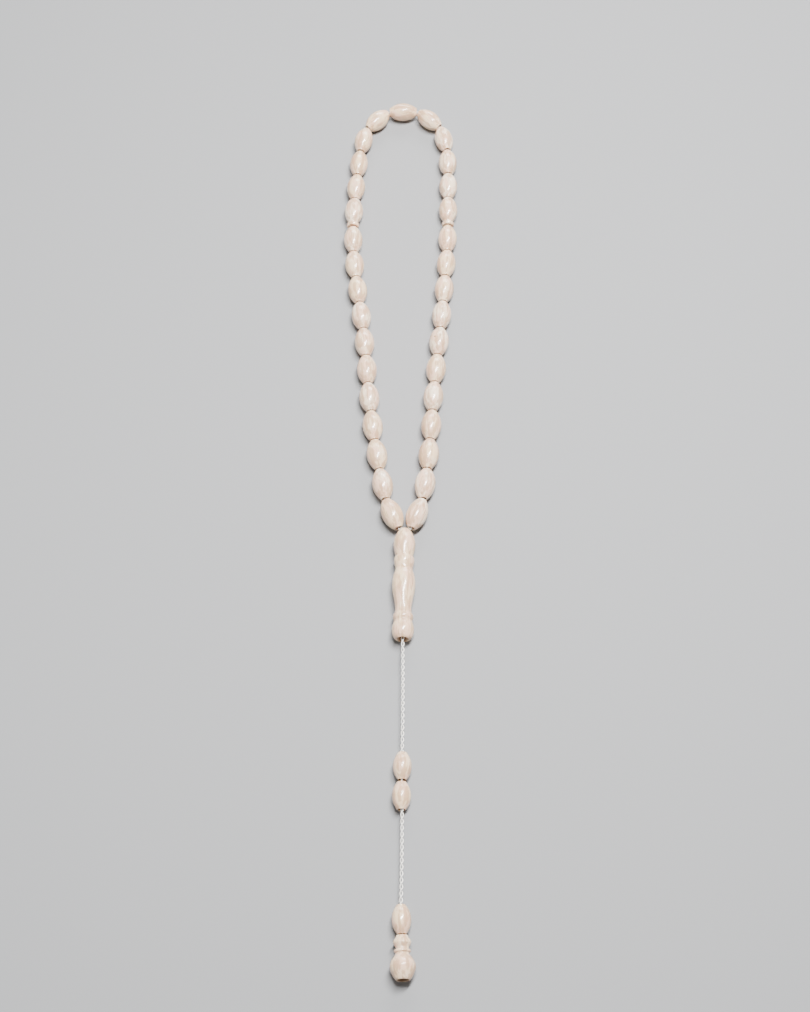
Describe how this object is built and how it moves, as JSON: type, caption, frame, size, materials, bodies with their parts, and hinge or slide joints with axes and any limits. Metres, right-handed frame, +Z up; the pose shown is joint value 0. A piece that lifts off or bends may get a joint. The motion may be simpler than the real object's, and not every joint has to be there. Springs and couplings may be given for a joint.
{
  "type": "misbaha prayer beads",
  "caption": "Loop of turned barrel beads with divider discs, a long turned leader, and a twisted tail cord with sliding counter beads and a finial.",
  "frame": {"origin": "on the table plane, under the middle of the outline as it lies flat", "axes": "+Y towards the top of the loop and away from the finial, +Z up out of the table, +X to the right when the loop is at the top"},
  "size_m": [0.0449, 0.3527, 0.0084],
  "materials": {
    "bone": "polished bone, cream with faint grain",
    "white_cord": "off-white twisted cord"
  },
  "bodies": {
    "leader": {"leader": "bone", "leader_knot": "white_cord", "leader_cord": "white_cord", "left_loop_end": "white_cord", "right_loop_end": "white_cord"},
    "left_strand_1": {"left_loop_cord_1": "white_cord"},
    "left_strand_2": {"left_loop_cord_2": "white_cord"},
    "left_strand_3": {"left_loop_cord_3": "white_cord"},
    "left_strand_4": {"left_loop_cord_4": "white_cord"},
    "left_strand_5": {"left_loop_cord_5": "white_cord"},
    "right_strand_1": {"right_loop_cord_1": "white_cord"},
    "right_strand_2": {"right_loop_cord_2": "white_cord"},
    "right_strand_3": {"right_loop_cord_3": "white_cord"},
    "right_strand_4": {"right_loop_cord_4": "white_cord"},
    "right_strand_5": {"right_loop_cord_5": "white_cord"},
    "top_arch": {"arch_loop_cord": "white_cord"},
    "tail": {"tail_cord": "white_cord"},
    "pendant": {"pendant_cord": "white_cord", "end_knot": "white_cord"},
    "left_bead_16": {"left_bead_16": "bone"},
    "left_bead_15": {"left_bead_15": "bone"},
    "left_bead_14": {"left_bead_14": "bone"},
    "left_bead_13": {"left_bead_13": "bone"},
    "left_bead_12": {"left_bead_12": "bone"},
    "left_bead_11": {"left_bead_11": "bone"},
    "left_bead_10": {"left_bead_10": "bone"},
    "left_bead_09": {"left_bead_09": "bone"},
    "left_bead_08": {"left_bead_08": "bone"},
    "left_bead_07": {"left_bead_07": "bone"},
    "left_bead_06": {"left_bead_06": "bone"},
    "left_bead_05": {"left_bead_05": "bone"},
    "left_bead_04": {"left_bead_04": "bone"},
    "left_bead_03": {"left_bead_03": "bone"},
    "left_bead_02": {"left_bead_02": "bone"},
    "left_bead_01": {"left_bead_01": "bone"},
    "top_bead": {"top_bead": "bone"},
    "right_bead_01": {"right_bead_01": "bone"},
    "right_bead_02": {"right_bead_02": "bone"},
    "right_bead_03": {"right_bead_03": "bone"},
    "right_bead_04": {"right_bead_04": "bone"},
    "right_bead_05": {"right_bead_05": "bone"},
    "right_bead_06": {"right_bead_06": "bone"},
    "right_bead_07": {"right_bead_07": "bone"},
    "right_bead_08": {"right_bead_08": "bone"},
    "right_bead_09": {"right_bead_09": "bone"},
    "right_bead_10": {"right_bead_10": "bone"},
    "right_bead_11": {"right_bead_11": "bone"},
    "right_bead_12": {"right_bead_12": "bone"},
    "right_bead_13": {"right_bead_13": "bone"},
    "right_bead_14": {"right_bead_14": "bone"},
    "right_bead_15": {"right_bead_15": "bone"},
    "right_bead_16": {"right_bead_16": "bone"},
    "left_divider_disc": {"left_divider_disc": "bone"},
    "right_divider_disc": {"right_divider_disc": "bone"},
    "tail_bead": {"tail_bead": "bone"},
    "finial": {"finial": "bone"},
    "upper_counter_bead": {"upper_counter_bead": "bone"},
    "lower_counter_bead": {"lower_counter_bead": "bone"}
  },
  "joints": [
    {"name": "counter_bead_lower_slide", "type": "slide", "parent": "tail", "child": "lower_counter_bead", "axis": [-0.0055, -1, -0.0082], "range_m": [0, 0.03]},
    {"name": "counter_bead_upper_slide", "type": "slide", "parent": "tail", "child": "upper_counter_bead", "axis": [0.0055, 1, 0.0082], "range_m": [0, 0.0385]},
    {"name": "leader_tail_swing", "type": "hinge", "parent": "leader", "child": "tail", "pos_m": [0.00061, -0.05999, 0], "axis": [0, 0, 1], "range_deg": [-45, 45]},
    {"name": "loop_spread", "type": "hinge", "parent": "leader", "child": "left_strand_1", "pos_m": [-0.0057, -0.0061, 0], "axis": [0, 0, 1], "range_deg": [-8, 8]},
    {"name": "pendant_swing", "type": "hinge", "parent": "tail", "child": "pendant", "pos_m": [0.0001, -0.1529, 0], "axis": [0, 0, 1], "range_deg": [-45, 45]},
    {"name": "spin_left_bead_16", "type": "hinge", "parent": "leader", "child": "left_bead_16", "pos_m": [-0.00327, -0.01195, 0.00381], "axis": [-0.3827, 0.9239, 0], "continuous": true},
    {"name": "spin_left_bead_15", "type": "hinge", "parent": "left_strand_1", "child": "left_bead_15", "pos_m": [-0.0068, 0.00005, 0.00379], "axis": [-0.1769, 0.9842, 0], "continuous": true},
    {"name": "spin_left_bead_14", "type": "hinge", "parent": "left_strand_1", "child": "left_bead_14", "pos_m": [-0.00889, 0.01229, 0.00377], "axis": [-0.1598, 0.9871, 0], "continuous": true},
    {"name": "spin_left_bead_13", "type": "hinge", "parent": "left_strand_2", "child": "left_bead_13", "pos_m": [-0.01063, 0.02447, 0.00376], "axis": [-0.1221, 0.9925, 0], "continuous": true},
    {"name": "spin_left_bead_12", "type": "hinge", "parent": "left_strand_2", "child": "left_bead_12", "pos_m": [-0.01197, 0.03664, 0.00374], "axis": [-0.0977, 0.9952, 0], "continuous": true},
    {"name": "spin_left_bead_11", "type": "hinge", "parent": "left_strand_2", "child": "left_bead_11", "pos_m": [-0.01299, 0.04877, 0.00373], "axis": [-0.0684, 0.9977, 0], "continuous": true},
    {"name": "spin_left_bead_10", "type": "hinge", "parent": "left_strand_3", "child": "left_bead_10", "pos_m": [-0.01399, 0.06084, 0.00371], "axis": [-0.0975, 0.9952, 0], "continuous": true},
    {"name": "spin_left_bead_09", "type": "hinge", "parent": "left_strand_3", "child": "left_bead_09", "pos_m": [-0.01538, 0.07281, 0.00369], "axis": [-0.1338, 0.991, 0], "continuous": true},
    {"name": "spin_left_bead_08", "type": "hinge", "parent": "left_strand_3", "child": "left_bead_08", "pos_m": [-0.01693, 0.08469, 0.00368], "axis": [-0.1238, 0.9923, 0], "continuous": true},
    {"name": "spin_left_bead_07", "type": "hinge", "parent": "left_strand_4", "child": "left_bead_07", "pos_m": [-0.01824, 0.09653, 0.00366], "axis": [-0.097, 0.9953, 0], "continuous": true},
    {"name": "spin_left_bead_06", "type": "hinge", "parent": "left_strand_4", "child": "left_bead_06", "pos_m": [-0.01899, 0.10836, 0.00365], "axis": [-0.0282, 0.9996, 0], "continuous": true},
    {"name": "spin_left_bead_05", "type": "hinge", "parent": "left_strand_5", "child": "left_bead_05", "pos_m": [-0.01888, 0.12205, 0.00363], "axis": [0.0429, 0.9991, 0], "continuous": true},
    {"name": "spin_left_bead_04", "type": "hinge", "parent": "left_strand_5", "child": "left_bead_04", "pos_m": [-0.01819, 0.13375, 0.00361], "axis": [0.0737, 0.9973, 0], "continuous": true},
    {"name": "spin_left_bead_03", "type": "hinge", "parent": "left_strand_5", "child": "left_bead_03", "pos_m": [-0.01721, 0.1455, 0.0036], "axis": [0.0925, 0.9957, 0], "continuous": true},
    {"name": "spin_left_bead_02", "type": "hinge", "parent": "top_arch", "child": "left_bead_02", "pos_m": [-0.0154, 0.15734, 0.00358], "axis": [0.2094, 0.9778, 0], "continuous": true},
    {"name": "spin_left_bead_01", "type": "hinge", "parent": "top_arch", "child": "left_bead_01", "pos_m": [-0.00983, 0.16761, 0.00357], "axis": [0.7019, 0.7123, 0], "continuous": true},
    {"name": "spin_top_bead", "type": "hinge", "parent": "top_arch", "child": "top_bead", "pos_m": [0.00067, 0.17204, 0.00357], "axis": [0.9999, 0.0124, 0], "continuous": true},
    {"name": "spin_right_bead_01", "type": "hinge", "parent": "top_arch", "child": "right_bead_01", "pos_m": [0.01138, 0.16798, 0.00357], "axis": [-0.7358, 0.6772, 0], "continuous": true},
    {"name": "spin_right_bead_02", "type": "hinge", "parent": "top_arch", "child": "right_bead_02", "pos_m": [0.01722, 0.15793, 0.00358], "axis": [-0.2201, 0.9755, 0], "continuous": true},
    {"name": "spin_right_bead_03", "type": "hinge", "parent": "right_strand_5", "child": "right_bead_03", "pos_m": [0.01867, 0.14609, 0.0036], "axis": [-0.0207, 0.9998, 0], "continuous": true},
    {"name": "spin_right_bead_04", "type": "hinge", "parent": "right_strand_5", "child": "right_bead_04", "pos_m": [0.01872, 0.13429, 0.00361], "axis": [0.0126, 0.9999, 0], "continuous": true},
    {"name": "spin_right_bead_05", "type": "hinge", "parent": "right_strand_5", "child": "right_bead_05", "pos_m": [0.01854, 0.12257, 0.00363], "axis": [0.0192, 0.9998, 0], "continuous": true},
    {"name": "spin_right_bead_06", "type": "hinge", "parent": "right_strand_4", "child": "right_bead_06", "pos_m": [0.01818, 0.10888, 0.00365], "axis": [0.0355, 0.9994, 0], "continuous": true},
    {"name": "spin_right_bead_07", "type": "hinge", "parent": "right_strand_4", "child": "right_bead_07", "pos_m": [0.01752, 0.09705, 0.00366], "axis": [0.0747, 0.9972, 0], "continuous": true},
    {"name": "spin_right_bead_08", "type": "hinge", "parent": "right_strand_3", "child": "right_bead_08", "pos_m": [0.01656, 0.08517, 0.00368], "axis": [0.087, 0.9962, 0], "continuous": true},
    {"name": "spin_right_bead_09", "type": "hinge", "parent": "right_strand_3", "child": "right_bead_09", "pos_m": [0.01549, 0.07324, 0.00369], "axis": [0.0919, 0.9958, 0], "continuous": true},
    {"name": "spin_right_bead_10", "type": "hinge", "parent": "right_strand_3", "child": "right_bead_10", "pos_m": [0.01435, 0.06124, 0.00371], "axis": [0.0964, 0.9953, 0], "continuous": true},
    {"name": "spin_right_bead_11", "type": "hinge", "parent": "right_strand_2", "child": "right_bead_11", "pos_m": [0.01316, 0.04919, 0.00373], "axis": [0.1006, 0.9949, 0], "continuous": true},
    {"name": "spin_right_bead_12", "type": "hinge", "parent": "right_strand_2", "child": "right_bead_12", "pos_m": [0.01205, 0.03706, 0.00374], "axis": [0.082, 0.9966, 0], "continuous": true},
    {"name": "spin_right_bead_13", "type": "hinge", "parent": "right_strand_2", "child": "right_bead_13", "pos_m": [0.01116, 0.02485, 0.00376], "axis": [0.0634, 0.998, 0], "continuous": true},
    {"name": "spin_right_bead_14", "type": "hinge", "parent": "right_strand_1", "child": "right_bead_14", "pos_m": [0.01016, 0.01259, 0.00377], "axis": [0.098, 0.9952, 0], "continuous": true},
    {"name": "spin_right_bead_15", "type": "hinge", "parent": "right_strand_1", "child": "right_bead_15", "pos_m": [0.00873, 0.00025, 0.00379], "axis": [0.1329, 0.9911, 0], "continuous": true},
    {"name": "spin_right_bead_16", "type": "hinge", "parent": "leader", "child": "right_bead_16", "pos_m": [0.00575, -0.0119, 0.00381], "axis": [0.3394, 0.9406, 0], "continuous": true},
    {"name": "spin_left_divider_disc", "type": "hinge", "parent": "left_strand_4", "child": "left_divider_disc", "pos_m": [-0.01914, 0.11522, 0.00364], "axis": [0.0131, 0.9999, 0], "continuous": true},
    {"name": "spin_right_divider_disc", "type": "hinge", "parent": "right_strand_4", "child": "right_divider_disc", "pos_m": [0.0184, 0.11574, 0.00364], "axis": [0.0199, 0.9998, 0], "continuous": true},
    {"name": "spin_tail_bead", "type": "hinge", "parent": "pendant", "child": "tail_bead", "pos_m": [0.00024, -0.15764, 0.00352], "axis": [0.0303, -0.9985, 0.0453], "continuous": true},
    {"name": "spin_finial", "type": "hinge", "parent": "pendant", "child": "finial", "pos_m": [0.0004, -0.16279, 0.00375], "axis": [0.0303, -0.9985, 0.0453], "continuous": true},
    {"name": "follow_left_2", "type": "hinge", "parent": "left_strand_1", "child": "left_strand_2", "pos_m": [-0.00988, 0.01838, 0], "axis": [0, 0, 1], "range_deg": [-3.5, 3.5]},
    {"name": "follow_left_3", "type": "hinge", "parent": "left_strand_2", "child": "left_strand_3", "pos_m": [-0.0134, 0.05483, 0], "axis": [0, 0, 1], "range_deg": [-5.1, 5.1]},
    {"name": "follow_left_4", "type": "hinge", "parent": "left_strand_3", "child": "left_strand_4", "pos_m": [-0.01767, 0.09062, 0], "axis": [0, 0, 1], "range_deg": [-4.7, 4.7]},
    {"name": "follow_left_5", "type": "hinge", "parent": "left_strand_4", "child": "left_strand_5", "pos_m": [-0.01913, 0.11617, 0], "axis": [0, 0, 1], "range_deg": [-3.2, 3.2]},
    {"name": "follow_top_arch", "type": "hinge", "parent": "left_strand_5", "child": "top_arch", "pos_m": [-0.01666, 0.15142, 0], "axis": [0, 0, 1], "range_deg": [-8.5, 8.5]},
    {"name": "follow_right_1", "type": "hinge", "parent": "leader", "child": "right_strand_1", "pos_m": [0.0079, -0.00594, 0], "axis": [0, 0, 1], "range_deg": [-8.3, 8.3]},
    {"name": "follow_right_2", "type": "hinge", "parent": "right_strand_1", "child": "right_strand_2", "pos_m": [0.01077, 0.01873, 0], "axis": [0, 0, 1], "range_deg": [-3.5, 3.5]},
    {"name": "follow_right_3", "type": "hinge", "parent": "right_strand_2", "child": "right_strand_3", "pos_m": [0.01377, 0.05523, 0], "axis": [0, 0, 1], "range_deg": [-5.1, 5.1]},
    {"name": "follow_right_4", "type": "hinge", "parent": "right_strand_3", "child": "right_strand_4", "pos_m": [0.01708, 0.09112, 0], "axis": [0, 0, 1], "range_deg": [-4.7, 4.7]},
    {"name": "follow_right_5", "type": "hinge", "parent": "right_strand_4", "child": "right_strand_5", "pos_m": [0.01842, 0.1167, 0], "axis": [0, 0, 1], "range_deg": [-3.2, 3.2]}
  ],
  "couplings": [
    {"joint": "follow_left_2", "follows": "loop_spread", "ratio": -0.4},
    {"joint": "follow_left_3", "follows": "loop_spread", "ratio": -0.6},
    {"joint": "follow_left_4", "follows": "loop_spread", "ratio": -0.5499},
    {"joint": "follow_left_5", "follows": "loop_spread", "ratio": -0.3666},
    {"joint": "follow_top_arch", "follows": "loop_spread", "ratio": 1.0284},
    {"joint": "follow_right_1", "follows": "loop_spread", "ratio": -1},
    {"joint": "follow_right_2", "follows": "loop_spread", "ratio": 0.4},
    {"joint": "follow_right_3", "follows": "loop_spread", "ratio": 0.6},
    {"joint": "follow_right_4", "follows": "loop_spread", "ratio": 0.5514},
    {"joint": "follow_right_5", "follows": "loop_spread", "ratio": 0.3676}
  ]
}
